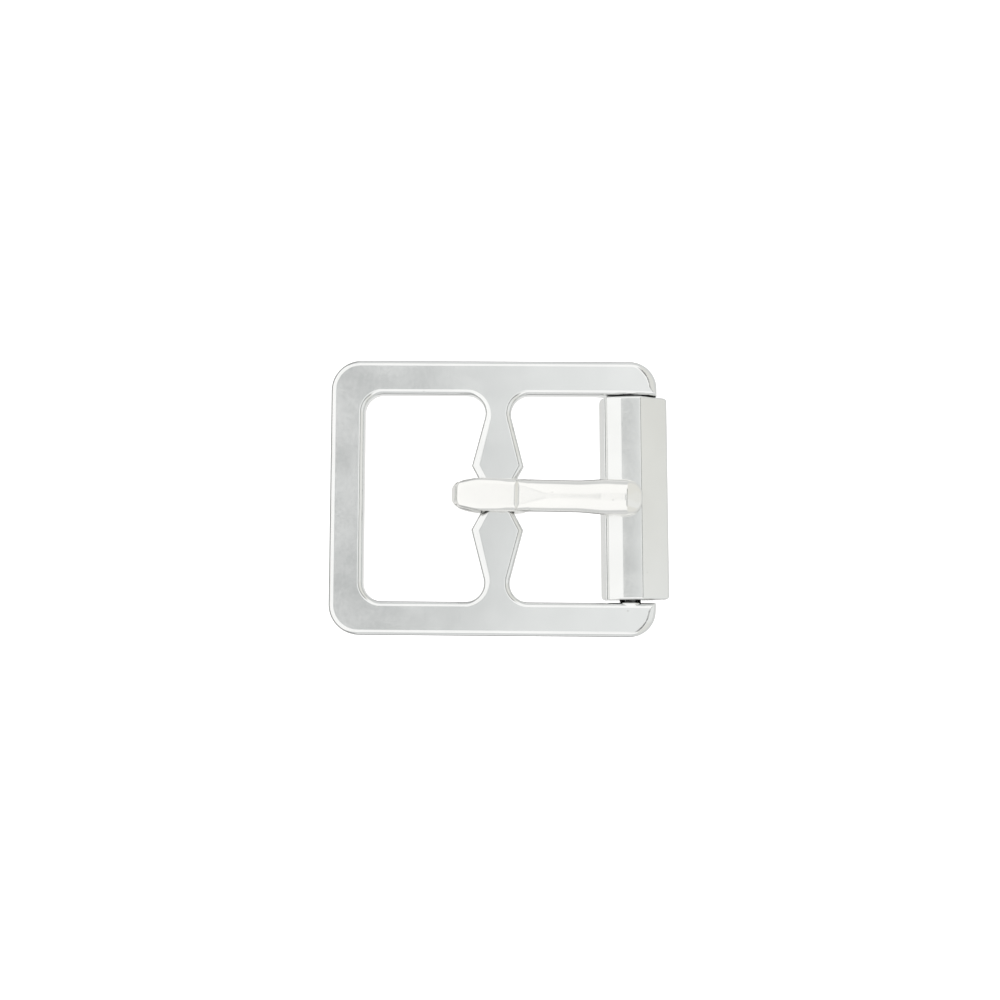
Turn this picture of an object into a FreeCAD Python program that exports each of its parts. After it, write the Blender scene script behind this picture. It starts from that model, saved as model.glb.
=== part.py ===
"""A roller buckle for a 25 mm strap, in millimetres.

Three pieces: a one-piece frame with a waisted centre bar and a lowered end bar, a prong whose eye is
rolled round the centre bar, and a folded sheet sleeve that turns on the end bar.

Row frame: +X from the strap end to the roller, +Y along the bars, +Z towards the prong's side.
The origin is the middle of the footprint, on the plane that the lowest point of the roller touches.
"""
import FreeCAD, Part
import math
import os

import Sketcher

DIMENSIONS = (
    # alias, value in mm (or degrees), what it is
    ("overall_length", 41.5, "end rail to the far side of the roller, were it square"),
    ("middle_shift", 0.108, "the skewed roller's corner moves the footprint's middle by this"),
    ("strap_opening", 25.4, "clear height between the side rails"),
    ("rail_width", 4.15, "side rails, seen from above"),
    ("end_rail_width", 4.17, "rail at the strap end"),
    ("plate_thickness", 2.8, "rails and centre bar"),
    ("edge_round", 0.65, "rounding of the polished edges"),
    ("strap_end_corner", 3.7, "outer corner radius at the strap end"),
    ("roller_end_corner", 3.2, "outer corner radius at the roller end"),
    ("window_corner", 2.3, "inner corner radius, also where the centre bar meets the rails"),
    ("roller_overhang", 1.51, "how far the roller stands past the frame"),
    ("bar_offset", 0.19, "centre bar, towards the strap end from the middle"),
    ("bar_root_half", 0.9, "half width of the bar where its flanks would meet the rails"),
    ("lobe_half", 3.19, "half width of the bar at its lobes"),
    ("lobe_reach", 3.9, "lobes, along the bar from the middle"),
    ("seat_half", 1.75, "half width of the waist that the prong sits on"),
    ("seat_reach", 1.25, "half length of that waist"),
    ("back_recess", 0.4, "how far the bar's back is set in from the rails' back"),
    ("recess_length", 16.0, "length of that recess along the bar"),
    ("recess_margin", 0.5, "how far the recess runs past the lobes"),
    ("lug_depth", 3.0, "underside of the end lugs, below the plate's middle"),
    ("lug_length", 4.6, "flat underside of the lugs"),
    ("lug_slope", 3.6, "run from the lugs' underside up to the rails' back"),
    ("nose_radius", 1.2, "rounding of the lugs' upper end"),
    ("end_bar_width", 2.58, "end bar, along the buckle"),
    ("end_bar_height", 2.8, "end bar, through the buckle"),
    ("end_bar_round", 0.95, "rounding of the end bar's edges"),
    ("end_bar_x", 16.16, "end bar's middle from the frame's middle"),
    ("end_bar_drop", 1.5, "end bar's middle below the plate's middle"),
    ("lug_bite", 0.6, "how far the end bar runs into each lug"),
    ("roller_x", 16.6, "roller's turning axis from the frame's middle"),
    ("roller_drop", 1.75, "roller's turning axis below the plate's middle"),
    ("roller_length", 24.8, "roller, along its axis"),
    ("roller_shift", 0.12, "the roller lies nearer the upper lug"),
    ("roller_skew", 1.0, "degrees that the loose roller lies off the end bar"),
    ("roller_half", 4.15, "half width of the roller"),
    ("roller_top", 3.9, "flat upper facet above the axis"),
    ("roller_flat_left", 1.88, "flat facet, towards the bar"),
    ("roller_flat_right", 0.89, "flat facet, away from the bar"),
    ("roller_shoulder_x", 3.48, "fold between the two facets on the bar's side"),
    ("roller_shoulder_z", 2.55, "height of that fold above the axis"),
    ("roller_side_half", 1.05, "half height of the upright sides"),
    ("roller_base_left", 2.0, "lower facet, towards the bar"),
    ("roller_base_right", 2.2, "lower facet, away from the bar"),
    ("roller_base", 3.2, "lower facet below the axis"),
    ("sheet", 0.95, "thickness of the roller's sheet"),
    ("fold_radius", 1.2, "outside radius of the roller's folds"),
    ("fold_gap", 0.25, "gap where the sheet's two edges meet"),
    ("rest_height", 4.95, "plate's middle above the plane that the buckle lies on"),
    ("pivot_rise", 0.2, "prong's axis above the plate's middle"),
    ("pivot_shift", 0.27, "prong's middle, along the bar"),
    ("prong_skew", 1.0, "degrees that the loose prong lies off square"),
    ("eye_bore", 2.6, "half height kept free round the bar"),
    ("bore_round", 2.55, "rounding of that space"),
    ("eye_slack", 1.45, "extra length of the eye, away from the tip"),
    ("eye_back", 1.52, "wall of the eye at its closed end"),
    ("eye_top", 1.25, "wall of the eye above the bar"),
    ("eye_base", 1.15, "wall of the eye below the bar"),
    ("eye_front", 1.15, "wall of the eye at the seam"),
    ("eye_outer_round", 3.0, "outside bend of the eye underneath"),
    ("eye_fold_round", 0.9, "outside bend of the eye at its upper back"),
    ("eye_corner", 0.9, "corners of the eye's back end, seen from above"),
    ("tip_corner", 2.0, "corners of the tip, seen from above"),
    ("eye_width", 3.98, "width of the eye"),
    ("shaft_width", 3.9, "width of the prong's waist"),
    ("tip_width", 4.38, "width of the tip"),
    ("shaft_under", 2.0, "underside of the shaft above the axis, at the eye"),
    ("seam_drop", 0.6, "seam of the rolled eye, below the shaft's underside"),
    ("tip_under", 2.48, "underside of the tip above the axis"),
    ("crown", 4.5, "highest line of the prong above the axis"),
    ("prong_reach", 17.64, "axis to the end of the tip"),
    ("tip_bevel", 1.85, "length of the ground bevel at the tip"),
    ("tip_edge", 0.7, "thickness left at the very end"),
    ("waist_near", 6.5, "where the prong has narrowed to its waist"),
    ("waist_far", 10.92, "where it begins to widen"),
    ("waist_end", 13.78, "where it has the tip's width"),
    ("overrun", 1.0, "how far a cutting outline runs past the metal"),
    ("through", 60.0, "length of a cut that goes right through"),
)

ALIASES = {alias for alias, _, _ in DIMENSIONS}
NEAR = 1e-3  # how closely a place must agree when edges are picked, in mm
SHORTEST_STRAIGHT = 0.5  # shorter straight edges belong to roundings

doc = FreeCAD.newDocument("roller_buckle")


def make_sheet():
    """The driving dimensions, one to a row: what it is, then its value."""
    sheet = doc.addObject("Spreadsheet::Sheet", "dims")
    for row, (alias, value, words) in enumerate(DIMENSIONS, start=1):
        sheet.set(f"A{row}", words)
        sheet.set(f"B{row}", str(value))
        sheet.setAlias(f"B{row}", alias)
    doc.recompute()
    return sheet


sheet = make_sheet()


def bound(text):
    """An expression on the sheet: each word that is an alias gets the sheet's name in front."""
    words = text.replace("(", "( ").replace(")", " )").split()
    return " ".join(f"dims.{word}" if word in ALIASES else word for word in words)


def new_body(name, x, y, z):
    """A named body whose place follows the sheet."""
    body = doc.addObject("PartDesign::Body", name)
    body.Label = name
    for axis, text in zip("xyz", (x, y, z)):
        body.setExpression(f"Placement.Base.{axis}", bound(text))
    return body


def outline(body, name, role, corners):
    """A closed outline of straight lines on an origin plane. Each corner is two expressions."""
    sketch = body.newObject("Sketcher::SketchObject", name)
    plane = next(item for item in body.Origin.OriginFeatures if item.Role == role)
    sketch.AttachmentSupport = (plane, "")
    sketch.MapMode = "FlatFace"
    count = len(corners)
    for number in range(count):
        start = FreeCAD.Vector(number, number * number, 0)
        following = (number + 1) % count
        end = FreeCAD.Vector(following, following * following, 0)
        sketch.addGeometry(Part.LineSegment(start, end), False)
    for number in range(count):
        sketch.addConstraint(Sketcher.Constraint("Coincident", number, 2, (number + 1) % count, 1))
    for number, place in enumerate(corners):
        for kind, text in zip(("DistanceX", "DistanceY"), place):
            index = sketch.addConstraint(Sketcher.Constraint(kind, -1, 1, number, 1, 1.0))
            sketch.setExpression(f"Constraints[{index}]", bound(text))
    return sketch


def extrude(body, kind, name, sketch, length):
    """A pad or pocket of a sketch, equally to both sides of its plane."""
    before = body.Shape.Volume if body.Tip else 0.0
    feature = body.newObject(f"PartDesign::{kind}", name)
    feature.Profile = sketch
    feature.SideType = "Symmetric"
    feature.setExpression("Length", bound(length))
    doc.recompute()
    change = body.Shape.Volume - before
    if (change > 0) != (kind == "Pad"):
        raise RuntimeError(f"{name} changed the volume by {change:.3f} mm3")
    return feature


def round_edges(body, name, radius, wanted):
    """Fillet every edge of the body so far for which wanted(edge) is true."""
    base = body.Tip
    names = [f"Edge{i}" for i, edge in enumerate(base.Shape.Edges, start=1) if wanted(edge)]
    if not names:
        raise RuntimeError(f"{name} found no edges")
    fillet = body.newObject("PartDesign::Fillet", name)
    fillet.Base = (base, names)
    fillet.setExpression("Radius", bound(radius))
    doc.recompute()
    return fillet


def runs_along(edge, axis):
    """True for a straight edge parallel to the axis X, Y or Z."""
    box = edge.BoundBox
    spans = {"X": box.XLength, "Y": box.YLength, "Z": box.ZLength}
    return spans[axis] > SHORTEST_STRAIGHT and all(spans[other] < NEAR for other in spans if other != axis)


def lies_at_height(edge, height):
    """True for an edge that lies wholly in the level plane at this height."""
    return max(abs(edge.BoundBox.ZMin - height), abs(edge.BoundBox.ZMax - height)) < NEAR


# The frame. Its own origin is the middle of its length and width, halfway through the plate.


def plan_block(body):
    """The plate's outline, as deep as the lugs, with its four upright corners rounded."""
    left = "- overall_length / 2"
    right = "overall_length / 2 - roller_overhang"
    side = "strap_opening / 2 + rail_width"
    corners = ((left, f"- ( {side} )"), (right, f"- ( {side} )"), (right, side), (left, side))
    sketch = outline(body, "plan", "XY_Plane", corners)
    extrude(body, "Pad", "plan_block", sketch, "2 * lug_depth")

    def upright_at(end):
        return lambda edge: runs_along(edge, "Z") and edge.CenterOfMass.x * end > 0

    round_edges(body, "strap_end_corners", "strap_end_corner", upright_at(-1))
    round_edges(body, "roller_end_corners", "roller_end_corner", upright_at(1))


def side_cuts(body):
    """Take the block down to the plate, leaving the two lugs low at the roller's end."""
    top = "plate_thickness / 2"
    back = "- plate_thickness / 2"
    far_left = "- overall_length / 2 - overrun"
    lug_end = "overall_length / 2 - roller_overhang"
    over = (
        (far_left, top),
        (f"{lug_end} + overrun", top),
        (f"{lug_end} + overrun", "lug_depth + overrun"),
        (far_left, "lug_depth + overrun"),
    )
    extrude(body, "Pocket", "above_plate", outline(body, "over_outline", "XZ_Plane", over), "through")
    under = (
        (far_left, back),
        (f"{lug_end} - lug_length - lug_slope", back),
        (f"{lug_end} - lug_length", "- lug_depth"),
        (f"{lug_end} - lug_length", "- lug_depth - overrun"),
        (far_left, "- lug_depth - overrun"),
    )
    extrude(body, "Pocket", "below_plate", outline(body, "under_outline", "XZ_Plane", under), "through")


def corner_cut(body, name, role, across, up, outward, radius):
    """Cut a square corner to a quarter circle. The corner is at two expressions, in the plane of role."""
    side, rise = outward
    inner_across, inner_up = f"{across} {flip(side)} {radius}", f"{up} {flip(rise)} {radius}"
    corners = (
        (across, inner_up),
        (f"{across} {side} overrun", inner_up),
        (f"{across} {side} overrun", f"{up} {rise} overrun"),
        (inner_across, f"{up} {rise} overrun"),
        (inner_across, up),
    )
    sketch = outline(body, f"{name}_outline", role, corners)
    doc.recompute()
    last_line = len(corners) - 1
    beside, above = sketch.getPoint(0, 1), sketch.getPoint(last_line, 1)
    sketch.delGeometry(last_line)
    centre = FreeCAD.Vector(above.x, beside.y, 0)
    circle = Part.Circle(centre, FreeCAD.Vector(0, 0, 1), abs(beside.x - above.x))
    ends = sorted(math.atan2(place.y - centre.y, place.x - centre.x) for place in (beside, above))
    if ends[1] - ends[0] > math.pi:
        ends = [ends[1], ends[0] + 2 * math.pi]
    arc = sketch.addGeometry(Part.ArcOfCircle(circle, *ends), False)
    starts_beside = sketch.getPoint(arc, 1).isEqual(beside, 1e-6)
    at_beside, at_above = (1, 2) if starts_beside else (2, 1)
    sketch.addConstraint(Sketcher.Constraint("Coincident", arc, at_beside, 0, 1))
    sketch.addConstraint(Sketcher.Constraint("Coincident", arc, at_above, last_line - 1, 2))
    index = sketch.addConstraint(Sketcher.Constraint("DistanceX", -1, 1, arc, 3, 1.0))
    sketch.setExpression(f"Constraints[{index}]", bound(inner_across))
    extrude(body, "Pocket", name, sketch, "through")


def flip(sign):
    """The other sign, as text."""
    return "-" if sign == "+" else "+"


def nose_cut(body):
    """Round the lugs' upper end over, as a quarter circle seen from the side."""
    end = "overall_length / 2 - roller_overhang"
    corner_cut(body, "nose", "XZ_Plane", end, "plate_thickness / 2", "++", "nose_radius")


def bar_flank(side):
    """Corners of the centre bar's edge from rail to rail. side is + or -, the way the edge faces."""
    stations = (
        ("bar_root_half", "- strap_opening / 2"),
        ("lobe_half", "- lobe_reach"),
        ("seat_half", "- seat_reach"),
        ("seat_half", "seat_reach"),
        ("lobe_half", "lobe_reach"),
        ("bar_root_half", "strap_opening / 2"),
    )
    return [(f"- bar_offset {side} {half}", along) for half, along in stations]


def windows(body):
    """The two openings, which leave the waisted centre bar between them."""
    inner = "- overall_length / 2 + end_rail_width"
    outer = "overall_length / 2 - roller_overhang + overrun"
    low, high = "- strap_opening / 2", "strap_opening / 2"
    strap_side = bar_flank("-") + [(inner, high), (inner, low)]
    sketch = outline(body, "strap_window_outline", "XY_Plane", strap_side)
    extrude(body, "Pocket", "strap_window", sketch, "through")
    roller_side = bar_flank("+") + [(outer, high), (outer, low)]
    sketch = outline(body, "roller_window_outline", "XY_Plane", roller_side)
    extrude(body, "Pocket", "roller_window", sketch, "through")
    opening_half = float(sheet.strap_opening) / 2
    lug_inside = float(sheet.overall_length) / 4

    def window_corner(edge):
        place = edge.CenterOfMass
        on_rail = abs(abs(place.y) - opening_half) < NEAR
        return runs_along(edge, "Z") and on_rail and place.x < lug_inside

    round_edges(body, "window_corners", "window_corner", window_corner)


def recess(body):
    """Set the back of the centre bar in, so that the prong's eye and a strap sit deeper."""
    reach = "lobe_half + recess_margin"
    corners = (
        (f"- bar_offset - ( {reach} )", "- plate_thickness / 2 - overrun"),
        (f"- bar_offset + ( {reach} )", "- plate_thickness / 2 - overrun"),
        (f"- bar_offset + ( {reach} )", "- plate_thickness / 2 + back_recess"),
        (f"- bar_offset - ( {reach} )", "- plate_thickness / 2 + back_recess"),
    )
    recess = outline(body, "recess_outline", "XZ_Plane", corners)
    extrude(body, "Pocket", "back_of_bar", recess, "recess_length")


def end_bar(body):
    """The bar that carries the roller, low between the two lugs and one piece with them."""
    left, right = "end_bar_x - end_bar_width / 2", "end_bar_x + end_bar_width / 2"
    low, high = "- end_bar_drop - end_bar_height / 2", "- end_bar_drop + end_bar_height / 2"
    corners = ((left, low), (right, low), (right, high), (left, high))
    sketch = outline(body, "end_bar_outline", "XZ_Plane", corners)
    extrude(body, "Pad", "end_bar", sketch, "strap_opening + 2 * lug_bite")
    opening = float(sheet.strap_opening)

    def bar_edge(edge):
        return runs_along(edge, "Y") and abs(edge.Length - opening) < NEAR

    round_edges(body, "end_bar_edges", "end_bar_round", bar_edge)


def frame_roundings(body):
    """Polished roundings: all round the front, along the bar's recessed back, then the rails' back."""
    front = float(sheet.plate_thickness) / 2
    bar_back = float(sheet.back_recess) - front
    window_half = float(sheet.strap_opening) / 2 + NEAR

    def beside_window(edge):
        return max(abs(edge.BoundBox.YMin), abs(edge.BoundBox.YMax)) < window_half

    def window_front(edge):
        return lies_at_height(edge, front) and beside_window(edge)

    def outer_front(edge):
        return lies_at_height(edge, front) and not beside_window(edge)

    def bar_back_edge(edge):
        return lies_at_height(edge, bar_back) and edge.BoundBox.XLength < edge.BoundBox.YLength

    round_edges(body, "window_front_edges", "edge_round", window_front)
    round_edges(body, "outer_front_edges", "edge_round", outer_front)
    round_edges(body, "bar_back_edges", "edge_round", bar_back_edge)


def make_frame():
    body = new_body("frame", "- middle_shift", "0", "rest_height")
    plan_block(body)
    side_cuts(body)
    nose_cut(body)
    windows(body)
    recess(body)
    end_bar(body)
    frame_roundings(body)
    return body


# The roller. Its own origin is the middle of its turning axis, and its flat facet faces up.


def make_roller():
    body = new_body("roller", "roller_x - middle_shift", "roller_shift", "rest_height - roller_drop")
    body.setExpression("Placement.Rotation.Angle", bound("roller_skew"))
    section = (
        ("- roller_half", "- roller_side_half"),
        ("- roller_base_left", "- roller_base"),
        ("roller_base_right", "- roller_base"),
        ("roller_half", "- roller_side_half"),
        ("roller_half", "roller_side_half"),
        ("roller_flat_right", "roller_top"),
        ("- roller_flat_left", "roller_top"),
        ("- roller_shoulder_x", "roller_shoulder_z"),
        ("- roller_half", "roller_side_half"),
    )
    sleeve = outline(body, "roller_section", "XZ_Plane", section)
    extrude(body, "Pad", "roller_block", sleeve, "roller_length")
    round_edges(body, "folds", "fold_radius", lambda edge: runs_along(edge, "Y"))
    solid = body.Tip
    ends = [f"Face{i}" for i, face in enumerate(solid.Shape.Faces, start=1) if is_end_face(face)]
    shell = body.newObject("PartDesign::Thickness", "sheet_wall")
    shell.Base = (solid, ends)
    shell.Reversed = True
    shell.setExpression("Value", bound("sheet"))
    doc.recompute()
    slit = (
        ("- fold_gap / 2", "- roller_base - overrun"),
        ("fold_gap / 2", "- roller_base - overrun"),
        ("fold_gap / 2", "0"),
        ("- fold_gap / 2", "0"),
    )
    extrude(body, "Pocket", "seam", outline(body, "seam_outline", "XZ_Plane", slit), "2 * roller_length")
    return body


def is_end_face(face):
    """True for a flat face square to Y."""
    return isinstance(face.Surface, Part.Plane) and abs(abs(face.normalAt(0, 0).y) - 1) < 1e-6


# The prong. Its own origin is on the axis it swings about, and it points along +X.


def prong_side(body):
    """The prong seen from the side, with the eye still solid."""
    back = "- eye_slack - eye_bore - eye_back"
    base = "- eye_bore - eye_base"
    front = "eye_bore + eye_front"
    plate = "eye_bore + eye_top"
    corners = (
        (back, base),
        (front, base),
        (front, "shaft_under"),
        ("roller_x + bar_offset - roller_half", "tip_under"),
        ("prong_reach", "tip_under"),
        ("prong_reach", "tip_under + tip_edge"),
        ("prong_reach - tip_bevel", "crown"),
        ("prong_reach - 3 * tip_bevel", "crown"),
        (front, plate),
        (back, plate),
    )
    extrude(body, "Pad", "prong_block", outline(body, "side_outline", "XZ_Plane", corners), "tip_width")
    middle = -float(sheet.eye_slack) / 2

    def low_back(edge):
        place = edge.CenterOfMass
        return runs_along(edge, "Y") and place.z < 0 and place.x < middle

    def low_front(edge):
        place = edge.CenterOfMass
        return runs_along(edge, "Y") and place.z < 0 and place.x > middle

    def high_back(edge):
        place = edge.CenterOfMass
        return runs_along(edge, "Y") and place.z > 0 and place.x < middle

    round_edges(body, "eye_low_back", "eye_outer_round", low_back)
    round_edges(body, "eye_low_front", "eye_outer_round", low_front)
    round_edges(body, "eye_high_back", "eye_fold_round", high_back)


def prong_eye(body):
    """The slot that holds the bar, and the hairline where the rolled end meets the shaft."""
    left, right = "- eye_slack - eye_bore", "eye_bore"
    corners = ((left, "- eye_bore"), (right, "- eye_bore"), (right, "eye_bore"), (left, "eye_bore"))
    extrude(body, "Pocket", "eye_hole", outline(body, "hole_outline", "XZ_Plane", corners), "through")
    bore = float(sheet.eye_bore)

    def hole_corner(edge):
        return runs_along(edge, "Y") and abs(abs(edge.CenterOfMass.z) - bore) < NEAR

    round_edges(body, "hole_corners", "bore_round", hole_corner)
    slit = (
        ("eye_bore - overrun", "shaft_under - seam_drop"),
        ("eye_bore + eye_front + overrun", "shaft_under - seam_drop"),
        ("eye_bore + eye_front + overrun", "shaft_under - seam_drop + fold_gap / 2"),
        ("eye_bore - overrun", "shaft_under - seam_drop + fold_gap / 2"),
    )
    extrude(body, "Pocket", "eye_seam", outline(body, "eye_seam_outline", "XZ_Plane", slit), "through")


def prong_plan(body):
    """Trim both sides to the waisted outline seen from above."""
    back = "- eye_slack - eye_bore - eye_back"
    behind = f"{back} - overrun"
    eye, waist, tip = "eye_width / 2", "shaft_width / 2", "tip_width / 2"
    for name, side in (("left", ""), ("right", "-")):
        corners = (
            (behind, f"{side} ( {eye} )"),
            ("eye_bore", f"{side} ( {eye} )"),
            ("waist_near", f"{side} ( {waist} )"),
            ("waist_far", f"{side} ( {waist} )"),
            ("waist_end", f"{side} ( {tip} )"),
            ("waist_end", f"{side} ( {tip} + overrun )"),
            (behind, f"{side} ( {tip} + overrun )"),
        )
        sketch = outline(body, f"{name}_waist_outline", "XY_Plane", corners)
        extrude(body, "Pocket", f"{name}_waist", sketch, "through")
    corner_cut(body, "back_left", "XY_Plane", back, eye, "-+", "eye_corner")
    corner_cut(body, "back_right", "XY_Plane", back, f"- {eye}", "--", "eye_corner")
    corner_cut(body, "tip_left", "XY_Plane", "prong_reach", tip, "++", "tip_corner")
    corner_cut(body, "tip_right", "XY_Plane", "prong_reach", f"- {tip}", "+-", "tip_corner")


def make_prong():
    body = new_body("prong", "- bar_offset - middle_shift", "pivot_shift", "rest_height + pivot_rise")
    body.setExpression("Placement.Rotation.Angle", bound("- prong_skew"))
    prong_side(body)
    prong_eye(body)
    prong_plan(body)
    return body


def check_and_write(bodies):
    """Stop on any failed feature or bad solid, then write one STEP file for each piece."""
    doc.recompute()
    for item in doc.Objects:
        if {"Invalid", "Error"} & set(item.State):
            raise RuntimeError(f"{item.Name} failed: {item.State}")
    for body in bodies:
        shape = body.Shape
        if shape.isNull() or not shape.isValid() or len(shape.Solids) != 1:
            raise RuntimeError(f"{body.Label} is not one sound solid")
    os.makedirs("parts", exist_ok=True)
    for body in bodies:
        body.Shape.exportStep(os.path.join("parts", f"{body.Label}.step"))
        print(f"{body.Label}: {body.Shape.Volume:.1f} mm3")


check_and_write([make_frame(), make_prong(), make_roller()])
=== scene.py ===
"""The looks of a roller buckle: polished frame, prong and roller on a pale light table, seen from above.

The frame and the roller are slabs: an outline extruded with rounded rims, then shaped by a function
of place. The prong is a strip, swept along its own side view. Lengths are millimetres in the shape
code, and become metres as a piece is set in place.
"""
import math

import bmesh
import bpy
from mathutils import Matrix, Vector
from mathutils.geometry import tessellate_polygon


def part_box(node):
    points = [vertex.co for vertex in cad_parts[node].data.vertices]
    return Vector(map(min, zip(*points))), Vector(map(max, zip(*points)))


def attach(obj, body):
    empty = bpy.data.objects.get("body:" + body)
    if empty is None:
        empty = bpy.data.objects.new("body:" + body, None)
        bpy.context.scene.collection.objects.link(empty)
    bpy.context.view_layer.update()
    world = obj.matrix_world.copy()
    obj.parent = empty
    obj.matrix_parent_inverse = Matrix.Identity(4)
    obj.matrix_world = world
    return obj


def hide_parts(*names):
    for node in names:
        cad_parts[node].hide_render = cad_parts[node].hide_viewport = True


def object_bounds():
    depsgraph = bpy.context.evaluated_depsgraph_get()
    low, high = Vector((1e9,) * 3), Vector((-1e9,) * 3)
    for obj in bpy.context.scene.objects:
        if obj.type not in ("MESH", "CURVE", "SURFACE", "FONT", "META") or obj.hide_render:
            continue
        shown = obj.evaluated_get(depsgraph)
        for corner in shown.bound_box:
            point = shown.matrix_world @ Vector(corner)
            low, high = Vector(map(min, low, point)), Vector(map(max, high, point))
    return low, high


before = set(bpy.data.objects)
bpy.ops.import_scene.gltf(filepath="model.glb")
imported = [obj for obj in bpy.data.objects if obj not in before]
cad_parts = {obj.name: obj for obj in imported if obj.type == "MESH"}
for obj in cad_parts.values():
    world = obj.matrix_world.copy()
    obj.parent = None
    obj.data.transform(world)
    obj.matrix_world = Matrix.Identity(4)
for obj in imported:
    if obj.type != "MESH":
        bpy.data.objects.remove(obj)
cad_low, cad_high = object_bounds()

MM = 0.001
ALONG, ACROSS, DEPTH = 0, 1, 2  # a slab's axes
RIM_STEPS = 9  # strips across a rounded rim
RIM_GUARD = 0.03  # width of the flat strip beside a rim, which keeps its shading apart
ARC_STEP = math.radians(5)  # turn between two points of a rounded corner
STRAIGHT_TURN = 1e-4  # a corner that turns less than this is left as it is
SHARPEST_MITRE = 0.5  # keeps the inset of a sharp corner from running away
CUT_SNAP = 1e-4  # points this near a cut are used as they are
# stands a slab up, so that its depth runs across the buckle
UPRIGHT = Matrix(((1, 0, 0, 0), (0, 0, -1, 0), (0, 1, 0, 0), (0, 0, 0, 1)))


# Outlines


def corner_arc(before, corner, after, radius):
    """Points that round a corner of an outline. A radius of 0 keeps it sharp."""
    if radius == 0:
        return [corner.copy()]
    arriving = (corner - before).normalized()
    leaving = (after - corner).normalized()
    turn = arriving.angle_signed(leaving, 0.0)
    if abs(turn) < STRAIGHT_TURN:
        return [corner.copy()]
    reach = radius * math.tan(abs(turn) / 2)
    start = corner - arriving * reach
    side = Vector((-arriving.y, arriving.x)) * (-1 if turn > 0 else 1)
    centre = start + side * radius
    count = max(2, math.ceil(abs(turn) / ARC_STEP))
    spoke = start - centre
    points = []
    for number in range(count + 1):
        angle = -turn * number / count
        points.append(centre + Matrix.Rotation(angle, 2) @ spoke)
    return points


def rounded_outline(corners):
    """A closed outline from corners (x, y, radius)."""
    places = [Vector((x, y)) for x, y, _ in corners]
    points = []
    for number, (_, _, radius) in enumerate(corners):
        following = places[(number + 1) % len(places)]
        points += corner_arc(places[number - 1], places[number], following, radius)
    return points


def inset(points, distances):
    """Move each point of an outline towards the metal, which lies on its left."""
    moved = []
    for number, point in enumerate(points):
        arriving = (point - points[number - 1]).normalized()
        leaving = (points[(number + 1) % len(points)] - point).normalized()
        left_before = Vector((-arriving.y, arriving.x))
        left_after = Vector((-leaving.y, leaving.x))
        mitre = (left_before + left_after).normalized()
        stretch = 1 / max(SHARPEST_MITRE, mitre.dot(left_before))
        moved.append(point + mitre * distances[number] * stretch)
    return moved


# Slabs


def rim_rings(points, half, rim, side):
    """Rings of points from the middle of the wall to the flat, on one side of the slab."""
    sizes = [rim(point, side) for point in points]
    rings = [(points, [half - depth - RIM_GUARD for _, depth in sizes])]
    for step in range(RIM_STEPS + 1):
        angle = math.pi / 2 * step / RIM_STEPS
        distances = [width * (1 - math.cos(angle)) for width, _ in sizes]
        heights = [half - depth * (1 - math.sin(angle)) for _, depth in sizes]
        rings.append((inset(points, distances), heights))
    rings.append((inset(points, [width + RIM_GUARD for width, _ in sizes]), [half] * len(points)))
    return [[(point, side * height) for point, height in zip(ring, heights)] for ring, heights in rings]


def slab(outlines, half, rim):
    """A closed mesh in (along, across, depth) coordinates, from -half to half in depth.

    The first outline runs anticlockwise and the others, which are holes, clockwise.
    rim(point, side) gives the width and depth of the rounding there.
    """
    mesh = bmesh.new()
    flats = {1: [], -1: []}
    for points in outlines:
        upper = rim_rings(points, half, rim, 1)
        lower = rim_rings(points, half, rim, -1)
        rings = []
        for ring in lower[::-1] + upper:
            rings.append([mesh.verts.new((point.x, point.y, depth)) for point, depth in ring])
        for here, above in zip(rings, rings[1:]):
            for number in range(len(here)):
                after = (number + 1) % len(here)
                mesh.faces.new((here[number], here[after], above[after], above[number]))
        flats[1].append(rings[-1])
        flats[-1].append(rings[0])
    for rings in flats.values():
        corners = [vert for ring in rings for vert in ring]
        for triangle in tessellate_polygon([[vert.co for vert in ring] for ring in rings]):
            mesh.faces.new([corners[number] for number in triangle])
    return mesh


def cut_across(mesh, axis, stations):
    """Add a line of points across the mesh at each station along an axis."""
    direction = Vector((0, 0, 0))
    direction[axis] = 1
    for station in stations:
        everything = mesh.verts[:] + mesh.edges[:] + mesh.faces[:]
        bmesh.ops.bisect_plane(
            mesh, geom=everything, plane_co=direction * station, plane_no=direction, dist=CUT_SNAP)


def spread(low, high, count):
    """Evenly spaced values from low to high."""
    return [low + (high - low) * number / (count - 1) for number in range(count)]


def ease(value, low, high):
    """0 below low, 1 above high, and smooth between."""
    share = min(1.0, max(0.0, (value - low) / (high - low)))
    return share * share * (3 - 2 * share)


def add_object(name, mesh):
    """Turn a bmesh into a smooth-shaded object of the scene."""
    bmesh.ops.recalc_face_normals(mesh, faces=mesh.faces)
    for face in mesh.faces:
        face.smooth = True
    data = bpy.data.meshes.new(name)
    mesh.to_mesh(data)
    mesh.free()
    made = bpy.data.objects.new(name, data)
    bpy.context.scene.collection.objects.link(made)
    return made


def make_piece(name, mesh, shape, place, material, body, node):
    """Shape a mesh with shape(point), set it in place and stand it for its CAD node."""
    for vert in mesh.verts:
        vert.co = place @ shape(vert.co)
    bmesh.ops.triangulate(mesh, faces=[face for face in mesh.faces if len(face.verts) > 4])
    piece = add_object(name, mesh)
    piece.data.materials.append(material)
    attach(piece, body)
    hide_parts(node)
    return piece


# Materials


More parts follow.
